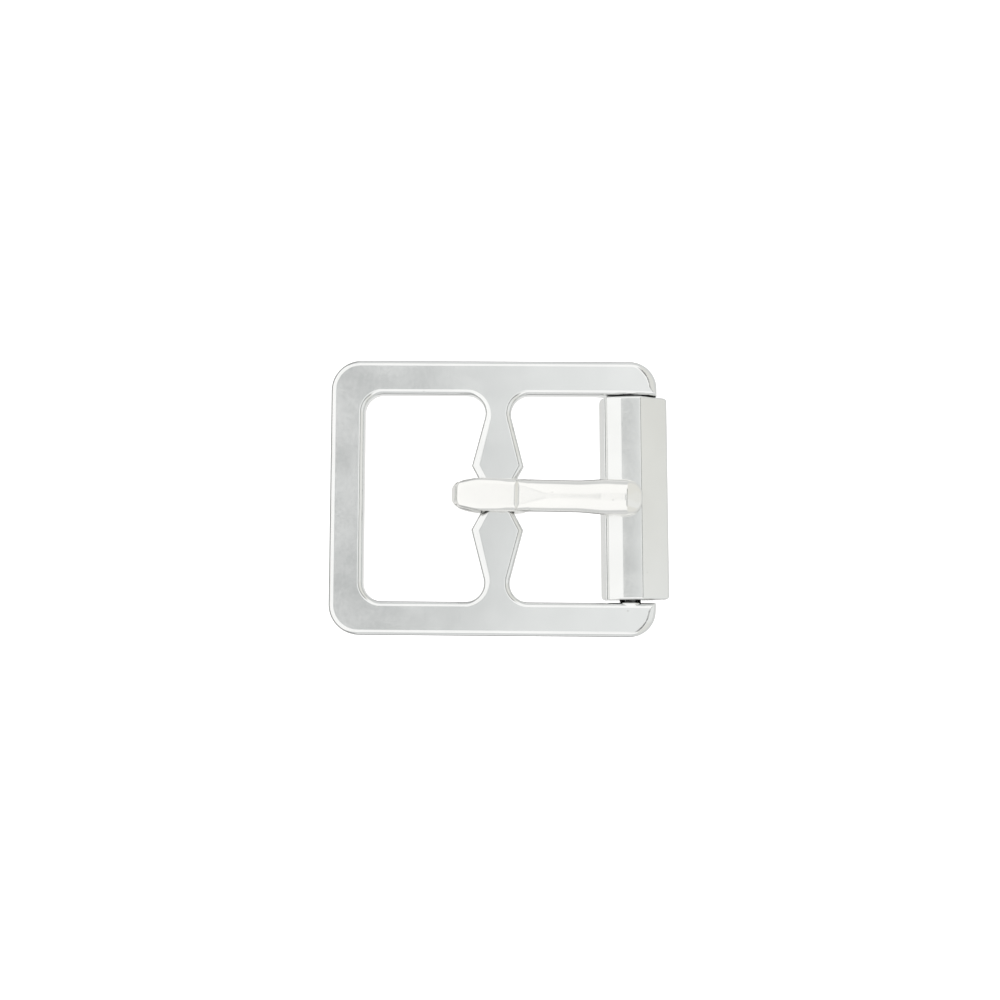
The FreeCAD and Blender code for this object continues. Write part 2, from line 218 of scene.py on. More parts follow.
COLOUR_FROM, COLOUR_TO, COLOUR_MIXED = 6, 7, 2  # the colour sockets of a Mix node
ROUGH_DETAIL, FINE_DETAIL = 1.0, 3.0
MICROMETRE = 1e-6
CLOUDS, RIPPLES, PATCHES, PITS, GRAIN = 150.0, 330.0, 420.0, 900.0, 2600.0  # how many to a metre
BRUSHING = (9000, 500, 2000)  # how many streaks to a metre, along each axis
CLOUD_SHADE, CLOUD_EDGE = 0.965, (0.35, 0.65)
CLOUD_WEAR, WEAR_EDGE = 0.6, (0.3, 0.7)
PIT_SIZE, PIT_SOFT_EDGE = 0.03, 0.09  # shares of the distance between pits
PIT_RARITY = 0.62  # only patches of noise above this have pits
PIT_DEPTH = 12.0  # micrometres
PIT_TARNISH = 0.5
TARNISH = (0.35, 0.34, 0.32, 1)
ROUGHNESS_SPREAD = 0.25


class Nodes:
    """A short way to write a node tree. A value is a number, a colour or another node's socket."""

    def __init__(self, tree):
        self.tree = tree

    def add(self, kind, **values):
        """A node, with its properties and inputs set."""
        node = self.tree.nodes.new(kind)
        inputs = {}
        for key, value in values.items():
            if hasattr(node, key):
                setattr(node, key, value)
            else:
                inputs[key] = value
        for key, value in inputs.items():
            self.put(node.inputs[key], value)
        return node

    def put(self, socket, value):
        """Link a socket to another, or set it."""
        if isinstance(value, bpy.types.NodeSocket):
            self.tree.links.new(value, socket)
        else:
            socket.default_value = value

    def math(self, operation, first, second=0.0):
        """A sum or other operation on two values."""
        node = self.add("ShaderNodeMath", operation=operation)
        self.put(node.inputs[0], first)
        self.put(node.inputs[1], second)
        return node.outputs[0]

    def ramp(self, value, low, high, start=0.0, end=1.0):
        """A value that is start below low and end above high, and smooth between."""
        node = self.add("ShaderNodeMapRange", interpolation_type="SMOOTHSTEP")
        settings = {"Value": value, "From Min": low, "From Max": high, "To Min": start, "To Max": end}
        for key, setting in settings.items():
            self.put(node.inputs[key], setting)
        return node.outputs["Result"]

    def blend(self, share, first, second):
        """A colour between two colours."""
        node = self.add("ShaderNodeMix", data_type="RGBA")
        self.put(node.inputs["Factor"], share)
        self.put(node.inputs[COLOUR_FROM], first)
        self.put(node.inputs[COLOUR_TO], second)
        return node.outputs[COLOUR_MIXED]

    def product(self, *factors):
        """The product of two or more values."""
        total = factors[0]
        for factor in factors[1:]:
            total = self.math("MULTIPLY", total, factor)
        return total

    def noise(self, place, scale, detail, stretch=(1, 1, 1)):
        """Smooth noise, about 0.5."""
        mapping = self.add("ShaderNodeMapping")
        self.put(mapping.inputs["Vector"], place)
        mapping.inputs["Scale"].default_value = stretch
        node = self.add("ShaderNodeTexNoise", Scale=scale, Detail=detail)
        self.put(node.inputs["Vector"], mapping.outputs[0])
        return node.outputs[0]


def steel(name, tint, roughness, streaks, peel, wave):
    """Polished steel with brushing streaks, orange peel, waves and fine pits.

    streaks, peel and wave are heights in micrometres.
    """
    material = bpy.data.materials.new(name)
    material.use_nodes = True
    nodes = Nodes(material.node_tree)
    shader = material.node_tree.nodes["Principled BSDF"]
    place = nodes.add("ShaderNodeTexCoord").outputs["Object"]
    clouds = nodes.noise(place, CLOUDS, FINE_DETAIL)
    brushing = nodes.noise(place, 1.0, FINE_DETAIL, BRUSHING)
    grain = nodes.noise(place, GRAIN, 2.0)
    ripples = nodes.noise(place, RIPPLES, ROUGH_DETAIL)

    pits = nodes.add("ShaderNodeTexVoronoi", Scale=PITS, feature="F1")
    nodes.put(pits.inputs["Vector"], place)
    pit = nodes.ramp(pits.outputs["Distance"], PIT_SIZE, PIT_SOFT_EDGE, 1.0, 0.0)
    rare = nodes.math("GREATER_THAN", nodes.noise(place, PATCHES, 0.0), PIT_RARITY)
    pit = nodes.product(pit, rare)

    dark = [channel * CLOUD_SHADE for channel in tint]
    shade = nodes.blend(nodes.ramp(clouds, *CLOUD_EDGE), (*dark, 1), (*tint, 1))
    shade = nodes.blend(nodes.product(pit, PIT_TARNISH), shade, TARNISH)
    nodes.put(shader.inputs["Base Color"], shade)
    shader.inputs["Metallic"].default_value = 1.0

    wear = nodes.math("ADD", nodes.product(clouds, CLOUD_WEAR), nodes.product(grain, 1 - CLOUD_WEAR))
    smoothest, roughest = roughness * (1 - ROUGHNESS_SPREAD), roughness * (1 + ROUGHNESS_SPREAD)
    nodes.put(shader.inputs["Roughness"], nodes.ramp(wear, *WEAR_EDGE, smoothest, roughest))

    height = nodes.product(brushing, streaks)
    height = nodes.math("ADD", height, nodes.product(grain, peel))
    height = nodes.math("ADD", height, nodes.product(ripples, wave))
    height = nodes.math("SUBTRACT", height, nodes.product(pit, PIT_DEPTH))
    bump = nodes.add("ShaderNodeBump", Strength=1.0, Distance=MICROMETRE)
    nodes.put(bump.inputs["Height"], height)
    nodes.put(shader.inputs["Normal"], bump.outputs["Normal"])
    return material


# The frame, in plan: along is X and across is Y, from the middle of the plate.

frame_low, frame_high = (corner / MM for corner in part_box("frame"))
PLATE = 2.8
STRAP_OPENING = 25.4
END_RAIL = 4.17
STRAP_END_CORNER = 3.7
ROLLER_END_CORNER = 3.2
WINDOW_CORNER = 2.3
BAR_X = -0.298
BAR_ROOT_HALF, LOBE_HALF, LOBE_REACH = 0.9, 3.19, 3.9
SEAT_HALF, SEAT_REACH, SEAT_CORNER = 1.75, 1.25, 0.4  # the bar where the prong's eye sits
BACK_ROUND = 0.3  # rounding of the edges underneath
EDGE_ROUND = 0.65  # rounding of the upper edges
BAR_ROUND = 0.95  # the same on the bar's edge towards the strap end
BAR_ZONE = (3.3, 4.2)  # from the bar's middle, where that wider rounding fades
RAIL_ZONE = (8.5, 11.5)  # and where it fades towards the rails
NOSE_ROUND = 1.05  # rounding of the outer edges at the roller end
FULL_NOSE = 0.4  # from the lugs' ends, where it has that size
OUTSIDE_ZONE = (0.4, 1.2)  # beyond the opening, where an edge counts as an outer one
LUG_SLOPE_START, LUG_SLOPE_END = 10.93, 14.53  # where the lugs' undersides drop
NOSE_RUN = 4.2  # the lugs' upper side leans towards their ends over this length
NOSE_LEAN = 0.14
LAST_NOSE_CUT, LAST_SIDE_CUT = 0.1, 0.7  # how near the plate's edges the extra lines of points go
RECESS, RECESS_HALF, RECESS_FADE = 0.4, 8.0, 0.4  # the bar's back is set in, between the rails
RECESS_ZONE = (3.6, 3.7)  # from the bar's middle, where the recess in its back ends


def frame_outlines():
    """The plate's outer outline, which runs round the roller's notch, and the strap's window."""
    left, right = frame_low.x, frame_high.x
    side, opening = frame_high.y, STRAP_OPENING / 2
    window_left = left + END_RAIL

    def flank(direction):
        root = BAR_X + direction * BAR_ROOT_HALF
        lobe = BAR_X + direction * LOBE_HALF
        seat = BAR_X + direction * SEAT_HALF
        return [
            (root, opening, WINDOW_CORNER),
            (lobe, LOBE_REACH, 0),
            (seat, SEAT_REACH, SEAT_CORNER),
            (seat, -SEAT_REACH, SEAT_CORNER),
            (lobe, -LOBE_REACH, 0),
            (root, -opening, WINDOW_CORNER),
        ]

    outer = [
        (right, side, ROLLER_END_CORNER),
        (left, side, STRAP_END_CORNER),
        (left, -side, STRAP_END_CORNER),
        (right, -side, ROLLER_END_CORNER),
        (right, -opening, 0),
        *flank(1)[::-1],
        (right, opening, 0),
    ]
    window = [
        (window_left, opening, WINDOW_CORNER),
        *flank(-1),
        (window_left, -opening, WINDOW_CORNER),
    ]
    return [rounded_outline(outer), rounded_outline(window)]


def frame_rim(point, side):
    """The width and depth of an edge's rounding.

    It is wider on the bar's edge towards the strap end, and round the corners at the roller end.
    """
    if side < 0:
        return BACK_ROUND, BACK_ROUND
    width = EDGE_ROUND
    if point.x < BAR_X:
        on_bar = 1 - ease(abs(point.x - BAR_X), *BAR_ZONE)
        clear_of_rails = 1 - ease(abs(point.y), *RAIL_ZONE)
        width += (BAR_ROUND - EDGE_ROUND) * on_bar * clear_of_rails
    outside = ease(abs(point.y) - STRAP_OPENING / 2, *OUTSIDE_ZONE)
    at_end = outside * ease(point.x, frame_high.x - ROLLER_END_CORNER, frame_high.x - FULL_NOSE)
    more = (NOSE_ROUND - EDGE_ROUND) * at_end
    return width + more, EDGE_ROUND + more


def frame_shape(point):
    """Lower the lugs' undersides, round their noses over and set the bar's back in."""
    along, across, depth = point
    if depth < 0:
        lug_bottom = frame_low.z - (frame_high.z - PLATE)
        depth += lug_bottom * ease(along, LUG_SLOPE_START, LUG_SLOPE_END)
        near_bar = 1 - ease(abs(along - BAR_X), *RECESS_ZONE)
        along_bar = 1 - ease(abs(across), RECESS_HALF - RECESS_FADE, RECESS_HALF + RECESS_FADE)
        depth += RECESS * near_bar * along_bar
    lean = nose_lean(along, abs(across))
    if lean > 0:
        centre = PLATE / 2 - NOSE_RUN
        depth = centre + (depth - centre) * math.sqrt(1 - (lean * NOSE_LEAN) ** 2)
    return Vector((along, across, depth))


def nose_lean(along, across):
    """0 on the plate, growing to 1 at the lugs' ends, and round their outer corners with them."""
    corner_x, corner_y = frame_high.x - NOSE_RUN, frame_high.y - NOSE_RUN
    beyond = along - corner_x
    if beyond <= 0:
        return 0.0
    aside = max(0.0, across - corner_y)
    from_edge = NOSE_RUN - math.hypot(beyond, aside)
    facing = beyond / math.hypot(beyond, aside)
    return max(0.0, 1 - max(0.0, from_edge) / NOSE_RUN) * facing


def make_frame(material):
    mesh = slab(frame_outlines(), PLATE / 2, frame_rim)
    cut_across(mesh, ALONG, spread(LUG_SLOPE_START, LUG_SLOPE_END, 7))
    cut_across(mesh, ALONG, spread(frame_high.x - NOSE_RUN, frame_high.x - LAST_NOSE_CUT, 30))
    nose_inner, nose_outer = frame_high.y - NOSE_RUN, frame_high.y - LAST_SIDE_CUT
    for end in (-1, 1):
        cut_across(mesh, ACROSS, spread(end * nose_inner, end * nose_outer, 12))
    recess_inner, recess_outer = RECESS_HALF - RECESS_FADE, RECESS_HALF + RECESS_FADE
    for end in (-1, 1):
        cut_across(mesh, ACROSS, spread(end * recess_inner, end * recess_outer, 4))
    place = Matrix.Scale(MM, 4) @ Matrix.Translation((0, 0, frame_high.z - PLATE / 2))
    piece = make_piece("buckle_frame", mesh, frame_shape, place, material, "frame", "frame")
    add_end_bar(piece)


END_BAR_X, END_BAR_Z = 16.052, 3.45
END_BAR_WIDTH, END_BAR_HEIGHT, END_BAR_ROUND = 2.58, 2.8, 0.95
END_BAR_RIM = 0.1
LUG_BITE = 0.8  # how far the bar runs into each lug
NECK_RISE = 1.42
NECK_STARTS = {-1: 12.30, 1: 12.53}  # from the middle, just past the roller's ends
NECK_RUN = 0.42
NECK_FULLNESS = 1.6  # the bar's flanks rise with its top


def neck_lift(along, height):
    """How far the end bar's upper side rises into the lug, just past the roller's ends."""
    if height < 0:
        return 0.0
    start = NECK_STARTS[1 if along > 0 else -1]
    share = min(1.0, height / (END_BAR_HEIGHT / 2) * NECK_FULLNESS)
    return NECK_RISE * ease(abs(along), start, start + NECK_RUN) * share


def add_end_bar(piece):
    """Join the bar that carries the roller to the two lugs."""
    wide, high = END_BAR_WIDTH / 2, END_BAR_HEIGHT / 2
    corners = [(-wide, -high), (wide, -high), (wide, high), (-wide, high)]
    outline = rounded_outline([(x, y, END_BAR_ROUND) for x, y in corners])
    mesh = slab([outline], STRAP_OPENING / 2 + LUG_BITE, lambda point, side: (END_BAR_RIM, END_BAR_RIM))
    for end, start in NECK_STARTS.items():
        cut_across(mesh, DEPTH, [-end * station for station in spread(start, start + NECK_RUN, 9)])
    for vert in mesh.verts:
        vert.co.y += neck_lift(-vert.co.z, vert.co.y)
    mesh.transform(Matrix.Scale(MM, 4) @ Matrix.Translation((END_BAR_X, 0, END_BAR_Z)) @ UPRIGHT)
    bar = add_object("end_bar", mesh)
    union = piece.modifiers.new("end_bar", "BOOLEAN")
    union.operation = "UNION"
    union.solver = "EXACT"
    union.object = bar
    bpy.context.view_layer.update()
    evaluated = piece.evaluated_get(bpy.context.evaluated_depsgraph_get())
    joined = bpy.data.meshes.new_from_object(evaluated)
    piece.modifiers.clear()
    piece.data = joined
    joined.name = "buckle_frame"
    bpy.data.objects.remove(bar)


# The prong, from the side: along is X and across is Z, from the axis that it swings about.

PRONG_PLACE = (BAR_X, 0.27, 5.15)
PRONG_SKEW = math.radians(-1)  # the prong sits a little askew, because it is loose on its bar
EYE_BORE, BORE_ROUND = 2.6, 2.55  # half the eye's opening, and the radius of its corners
EYE_LEFT = -4.05
EYE_BACK, EYE_FRONT, EYE_BASE = -5.57, 3.75, -3.75  # the eye's outer faces
OUTER_BEND = 3.0
SEAM, SEAM_GAP = 1.4, 0.125  # the strip's end stops just under the shaft
LIP_RUN = 1.9  # from the bore's front bend to where the strip's end meets the shaft
PLATE_BACK, PLATE_FRONT = 3.03, 3.66
BACK_FACETS = ((0, 1.2, 0), (0, 1.75, 0.5), (0.40, 2.62, 0.1))  # from the prong's back end
PLATE_START, PLATE_CORNER = EYE_BACK + 0.80, 0.12
CREASE, CREASE_ROUND = 2.25, 0.2  # a small step down from the plate to the shaft
SHAFT_START, SHAFT_LOW = CREASE + 0.24, 3.30
SHAFT_END, SHAFT_HIGH = 12.64, 4.18
PAST_EYE = EYE_FRONT + 0.25
SHAFT_UNDER, TIP_UNDER = 2.0, 2.48
CROWN, CROWN_ROUND = 4.5, 0.6  # the prong's highest line, where the tip's bevel starts
REACH = 17.64
BEVEL = 1.85
BEVEL_START = REACH - BEVEL - 0.05
TIP_FACETS = ((0.15, 3.28, 0.3), (0.02, 2.93, 0))  # from the prong's reach
TIP_FOOT = ((0.25, 0), (0.02, 0.2))  # the same underneath, above the tip's underside

# The prong, seen from above
EYE_WIDTH, SHAFT_WIDTH, TIP_WIDTH = 3.98, 3.90, 4.38
NARROWING, WIDENING = (1.1, 6.5), (9.5, 13.8)  # where it goes from one width to the next
TIP_CORNER_RUN, TIP_CORNER = 2.0, 1.75
BACK_CORNER_RUN, BACK_CORNER_REACH, BACK_CORNER = 3.6, 3.75, 1.0

# The prong's section
SECTION_STEPS = 10  # points on each rounded corner of the strip
TOP_SHARES = (0.66, 0.33, 0)  # points on half of the flat between them
STRIP_ROUND = (0.8, 0.6)  # how far an edge is rounded, across the strip and through it
PLATE_ROUND = (0.78, 0.85)  # the same for the plate, the shaft and the tip
SHAFT_ROUND = (1.93, 1.30)
TIP_ROUND = (0.7, 0.35)
BACK_EXTRA = 0.25  # more across, at the prong's back end
SHAFT_ZONE = (CREASE - 0.1, CREASE + 4.5)  # where each rounding passes into the next
BACK_ZONE = (EYE_BACK + 0.6, EYE_BACK + 2.0)
TIP_ZONE = (REACH - BEVEL - 0.2, REACH - 0.1)
INNER_EASE, SHAFT_EASE = 0.22, 0.5  # easing of the edges inside the eye, and under the shaft
# the roundings stay under these shares of the strip
MOST_ACROSS, MOST_THROUGH = 0.96, 0.62
MOST_INNER_EASE, MOST_SHAFT_EASE = 0.25, 0.33


def line(*places):
    """A path of straight stretches. A place is (x, z), or (x, z, radius) to round it."""
    corners = [Vector(place[:2]) for place in places]
    radii = [place[2] if len(place) > 2 else 0 for place in places]
    points = [corners[0]]
    for number in range(1, len(corners) - 1):
        points += corner_arc(corners[number - 1], corners[number], corners[number + 1], radii[number])
    return points + [corners[-1]]


def bend(x, z, radius, start, end):
    """A path round a centre, between two angles in degrees."""
    middle = Vector((x, z))
    angles = [math.radians(value) for value in spread(start, end, 30)]
    return [middle + radius * Vector((math.cos(angle), math.sin(angle))) for angle in angles]


def along_path(path, count):
    """Evenly spaced points along a path."""
    lengths = [0.0]
    for here, there in zip(path, path[1:]):
        lengths.append(lengths[-1] + (there - here).length)
    points = []
    stretch = 0
    for wanted in spread(0, lengths[-1], count):
        while stretch < len(path) - 2 and lengths[stretch + 1] < wanted:
            stretch += 1
        share = (wanted - lengths[stretch]) / max(1e-9, lengths[stretch + 1] - lengths[stretch])
        points.append(path[stretch].lerp(path[stretch + 1], min(1.0, share)))
    return points


def plate_height(along):
    """The height of the plate over the eye."""
    return PLATE_BACK + (PLATE_FRONT - PLATE_BACK) * (along - EYE_BACK) / (CREASE - EYE_BACK)


def shaft_height(along):
    """The height of the shaft's upper side, which climbs to the tip."""
    return SHAFT_LOW + (SHAFT_HIGH - SHAFT_LOW) * (along - SHAFT_START) / (SHAFT_END - SHAFT_START)


def on_plate(along):
    """A point on the plate's upper side."""
    return along, plate_height(along)


def on_shaft(along):
    """A point on the shaft's upper side."""
    return along, shaft_height(along)


def prong_stations():
    """Pairs of points, outside and inside of the strip, from its rolled end round the eye to the tip.

    Each stretch is an outer path, an inner path and how many pairs it gives.
    """
    low = EYE_BASE + OUTER_BEND
    out_front, out_back = EYE_FRONT - OUTER_BEND, EYE_BACK + OUTER_BEND
    in_front, in_back = EYE_BORE - BORE_ROUND, EYE_LEFT + BORE_ROUND
    in_high = EYE_BORE - BORE_ROUND
    lip_low = SEAM + SEAM_GAP
    lip = math.degrees(math.asin((lip_low - in_high) / BORE_ROUND))
    lip_x = in_front + BORE_ROUND * math.cos(math.radians(lip))
    plate_end = in_front + LIP_RUN
    back_end = (EYE_BACK, BACK_FACETS[0][1])
    under_front, under_back = (in_front, -EYE_BORE), (in_back, -EYE_BORE)
    over_front, over_back = (in_front, EYE_BORE), (in_back, EYE_BORE)
    shaft_foot, tip_start = (PAST_EYE, SHAFT_UNDER), (SHAFT_END, TIP_UNDER)
    fold = line(
        *[(EYE_BACK + ahead, height, radius) for ahead, height, radius in BACK_FACETS],
        (*on_plate(PLATE_START), PLATE_CORNER),
        on_plate(in_back),
    )
    crease = line(
        on_plate(plate_end),
        (*on_plate(CREASE), CREASE_ROUND),
        (*on_shaft(SHAFT_START), CREASE_ROUND),
        on_shaft(EYE_FRONT),
    )
    tip = line(
        on_shaft(SHAFT_END),
        (BEVEL_START, CROWN, CROWN_ROUND),
        *[(REACH - back, height, radius) for back, height, radius in TIP_FACETS],
    )
    tip_foot = line(tip_start, *[(REACH - back, TIP_UNDER + rise) for back, rise in TIP_FOOT])
    stretches = [
        # the strip's rolled end, then round the eye
        (line((EYE_FRONT, SEAM), (EYE_FRONT, low)), line((EYE_BORE, SEAM), (EYE_BORE, -in_high)), 6),
        (bend(out_front, low, OUTER_BEND, 0, -90), bend(in_front, -in_high, BORE_ROUND, 0, -90), 26),
        (line((out_front, EYE_BASE), (out_back, EYE_BASE)), line(under_front, under_back), 6),
        (bend(out_back, low, OUTER_BEND, -90, -180), bend(in_back, -in_high, BORE_ROUND, -90, -180), 26),
        (line((EYE_BACK, low), back_end), line((EYE_LEFT, -in_high), (EYE_LEFT, in_high)), 6),
        (fold, bend(in_back, in_high, BORE_ROUND, 180, 90), 60),
        # the plate over the eye, and the crease
        (line(on_plate(in_back), on_plate(in_front)), line(over_back, over_front), 6),
        (line(on_plate(in_front), on_plate(plate_end)), bend(in_front, in_high, BORE_ROUND, 90, lip), 14),
        (crease, line((lip_x, lip_low), (EYE_FRONT, lip_low)), 22),
        # the shaft and the tip
        (line(on_shaft(EYE_FRONT), on_shaft(PAST_EYE)), line((EYE_FRONT, lip_low), shaft_foot), 3),
        (line(on_shaft(PAST_EYE), on_shaft(SHAFT_END)), line(shaft_foot, tip_start), 40),
        (tip, tip_foot, 60),
    ]
    stations = []
    for outside, inside, count in stretches:
        pairs = list(zip(along_path(outside, count), along_path(inside, count)))
        stations += pairs if not stations else pairs[1:]
    return stations


def quarter_round(beyond, reach):
    """0 where a rounded corner starts, falling to -1 at its end."""
    return math.sqrt(max(0.0, 1 - (beyond / reach) ** 2)) - 1 if beyond > 0 else 0.0


def half_width(along):
    """Half the prong's width, seen from above."""
    waist = (SHAFT_WIDTH - EYE_WIDTH) * ease(along, *NARROWING)
    tip = (TIP_WIDTH - SHAFT_WIDTH) * ease(along, *WIDENING)
    half = (EYE_WIDTH + waist + tip) / 2
    half += TIP_CORNER * quarter_round(along - (REACH - TIP_CORNER_RUN), TIP_CORNER_RUN)
    half += BACK_CORNER * quarter_round(EYE_BACK + BACK_CORNER_RUN - along, BACK_CORNER_REACH)
    return half


def edge_rounding(outside, half, thickness):
    """How far the strip's outer edges are rounded, across the strip and through it."""
    across, through = STRIP_ROUND
    if outside.y > EYE_BORE:
        shaft = ease(outside.x, *SHAFT_ZONE)
        over_back = 1 - ease(outside.x, *BACK_ZONE)
        across = PLATE_ROUND[0] + BACK_EXTRA * over_back + (SHAFT_ROUND[0] - PLATE_ROUND[0]) * shaft
        through = PLATE_ROUND[1] + (SHAFT_ROUND[1] - PLATE_ROUND[1]) * shaft
        near_tip = ease(outside.x, *TIP_ZONE)
        across += (TIP_ROUND[0] - across) * near_tip
        through += (TIP_ROUND[1] - through) * near_tip
    return min(across, half * MOST_ACROSS), min(through, thickness * MOST_THROUGH)


def prong_section(outside, inside):
    """A ring of points round the strip: rounded on the outside, only just eased on the inside."""
    thickness = (outside - inside).length
    half = half_width(outside.x)
    across, through = edge_rounding(outside, half, thickness)
    foot = min(INNER_EASE, thickness * MOST_INNER_EASE)
    if outside.x > EYE_FRONT:
        foot = min(SHAFT_EASE, thickness * MOST_SHAFT_EASE)

    foot_edge, top_edge = [], []
    for step in range(SECTION_STEPS + 1):
        angle = math.pi / 2 * step / SECTION_STEPS
        in_by, down_by = 1 - math.cos(angle), 1 - math.sin(angle)
        foot_edge.insert(0, (half - foot * in_by, foot * down_by))
        top_edge.append((half - across * in_by, thickness - through * down_by))
    flat = [((half - across) * share, thickness) for share in TOP_SHARES]
    right = [(0, 0), (half / 2, 0)] + foot_edge + top_edge + flat
    left = [(-aside, height) for aside, height in right[1:-1]][::-1]

    direction = (outside - inside).normalized()
    ring = []
    for aside, height in right + left:
        place = inside + direction * height
        ring.append((place.x, aside, place.y))
    return ring


def make_prong(material):
    mesh = bmesh.new()
    rings = []
    for outside, inside in prong_stations():
        rings.append([mesh.verts.new(point) for point in prong_section(outside, inside)])
    for here, there in zip(rings, rings[1:]):
        for number in range(len(here)):
            after = (number + 1) % len(here)
            mesh.faces.new((here[number], here[after], there[after], there[number]))
    mesh.faces.new(rings[0])
    mesh.faces.new(rings[-1])
    spin = Matrix.Rotation(PRONG_SKEW, 4, "Z")
    place = Matrix.Scale(MM, 4) @ Matrix.Translation(PRONG_PLACE) @ spin
    make_piece("buckle_prong", mesh, lambda point: point, place, material, "prong", "prong")


# The roller, from its end: along is X and across is Z, from its turning axis.

ROLLER_PLACE = (16.492, 0.12, 3.2)
ROLLER_SKEW = math.radians(1)  # the roller sits a little askew on its bar
ROLLER_HALF_LENGTH = 12.4
ROLLER_HALF = 4.15
SHEET = 0.95
FOLD_GAP = 0.25
ROLLER_END_ROUND = 0.5
FOLD_CORNER, INNER_CORNER = 0.1, 0.2  # of the sheet's edges, and of its folds inside
END_RIM, TIGHT_RIM = (0.26, 0.26), (0.03, 0.08)  # width and depth of the rounding at the ends
LIP_GROOVE, LIP_GROOVE_BASE = (-3.66, -3.2), 2.2
INSIDE_REACH, INSIDE_BASE, INSIDE_TOP = 3.25, -2.3, 3.0
SEAM_REACH = 0.4
CORNER_LIMIT = 0.98  # share of a quarter circle that rounds an end
CORNER_CUT = 0.05
ROLLER_SECTION = (  # the sheet's outer side, with the radius of each fold
    (0, -3.2, 0),
    (2.2, -3.2, 0.8),
    (4.15, -1.05, 0.8),
    (4.15, 1.05, 0.6),
    (0.89, 3.9, 0.6),
    (-1.88, 3.75, 1.1),
    (-3.27, 2.73, 0.12),
    (-3.42, 2.36, 0.04),
    (-3.64, 2.40, 0.14),
    (-4.15, 1.05, 0.8),
    (-4.15, -1.05, 0.8),
    (-2.0, -3.2, 0.8),
)
INNER_SECTION = (  # the sheet's inner side
    (-1.6, -2.25),
    (-3.2, -0.65),
    (-3.2, 0.75),
    (-2.75, 1.95),
    (-1.5, 2.95),
    (0.5, 2.95),
    (3.2, 0.6),
    (3.2, -0.65),
    (1.8, -2.25),
)


def roller_outline():
    """A folded strip whose two edges nearly meet underneath, with a groove along its lip."""
    gap = FOLD_GAP / 2
    base, ceiling = ROLLER_SECTION[0][1], ROLLER_SECTION[0][1] + SHEET
    corners = [
        (gap, base, FOLD_CORNER),
        *ROLLER_SECTION[1:],
        (-gap, base, FOLD_CORNER),
        (-gap, ceiling, FOLD_CORNER),
        *[(x, z, INNER_CORNER) for x, z in INNER_SECTION],
        (gap, ceiling, FOLD_CORNER),
    ]
    return rounded_outline(corners)


def roller_rim(point, side):
    """The sheet's ends are eased outside, and only just inside, in the groove and at the seam."""
    inside = abs(point.x) < INSIDE_REACH and INSIDE_BASE < point.y < INSIDE_TOP
    groove = LIP_GROOVE[0] < point.x < LIP_GROOVE[1] and point.y > LIP_GROOVE_BASE
    at_seam = abs(point.x) < SEAM_REACH and point.y < 0
    return TIGHT_RIM if inside or groove or at_seam else END_RIM


def roller_shape(point):
    """Round the ends' corners, as seen from above."""
    into = (abs(point.z) - (ROLLER_HALF_LENGTH - ROLLER_END_ROUND)) / ROLLER_END_ROUND
    if into <= 0:
        return point
    limit = ROLLER_HALF + ROLLER_END_ROUND * quarter_round(into, 1 / CORNER_LIMIT)
    return Vector((max(-limit, min(limit, point.x)), point.y, point.z))


def make_roller(material):
    mesh = slab([roller_outline()], ROLLER_HALF_LENGTH, roller_rim)
    cut_across(mesh, DEPTH, spread(-ROLLER_HALF_LENGTH + 1, ROLLER_HALF_LENGTH - 1, 12))
    corner_cuts = spread(END_RIM[0] + CORNER_CUT, ROLLER_END_ROUND, 5)
    for end in (-1, 1):
        cut_across(mesh, DEPTH, [end * (ROLLER_HALF_LENGTH - back) for back in corner_cuts])
    spin = Matrix.Rotation(ROLLER_SKEW, 4, "Z")
    place = Matrix.Scale(MM, 4) @ Matrix.Translation(ROLLER_PLACE) @ spin @ UPRIGHT
    make_piece("buckle_roller", mesh, roller_shape, place, material, "roller", "roller")


# The studio


# The sky's colours, and where they change: pairs of values along one axis of a direction of
# length 1, with a smooth change between the two. East is towards the roller, north is away from
# the camera's foot, and aside is either way along the bar.
WHITE_TENT = (1.06, 1.06, 1.05, 1)
WARM_EAST, WARM_EDGE = (0.80, 0.80, 0.765, 1), (0.4, 0.5)
PALE_SHADE, SHADE_EDGE = (0.86, 0.87, 0.86, 1), (0.05, 0.08)
SHADE_SOUTH, SHADE_NORTH = (-0.5, -0.3), (0.03, 0.08)
SIDE_GREY, SIDE_EDGE = (0.68, 0.69, 0.69, 1), (0.80, 0.90)
GAP_DARK, GAP_WEST, GAP_EAST, GAP_SIDES = (0.12, 0.12, 0.12, 1), (0.26, 0.31), (0.42, 0.48), (0.45, 0.6)
PANEL_WEST, PANEL_EAST = (-0.138, -0.122), (0.10, 0.14)
PANEL_SOUTH, PANEL_NORTH = (-0.08, -0.05), (0.17, 0.20)
PANEL_DARK, PANEL_PALE, PANEL_CHANGE = (0.47, 0.482, 0.482, 1), (0.875, 0.89, 0.885, 1), (-0.115, 0.03)
HORIZON = (0.0, 0.04)
LOW_WEST_DARK, LOW_WEST_PALE, LOW_WEST_EDGE = (0.05, 0.05, 0.05, 1), (0.78, 0.78, 0.77, 1), (0.28, 0.40)
LOW_WEST_END = (-0.25, -0.1)
LOW_SIDE_RIM, LOW_SIDE_DARK, LOW_SIDE_EDGE = (0.9, 0.9, 0.9, 1), (0.30, 0.30, 0.30, 1), (0.35, 0.5)
LOW_SIDE_BASE, LOW_SIDE_BASE_EDGE = (0.85, 0.85, 0.84, 1), (0.88, 0.95)
LOW_EAST, LOW_EAST_EDGE = (0.72, 0.73, 0.72, 1), (0.1, 0.25)
BACKDROP = (1.1, 1.1, 1.1, 1)  # what the camera sees past the table


def band(nodes, value, rise, fall):
    """1 between two edges and 0 outside them."""
    return nodes.product(nodes.ramp(value, *rise), nodes.ramp(value, *fall, 1.0, 0.0))


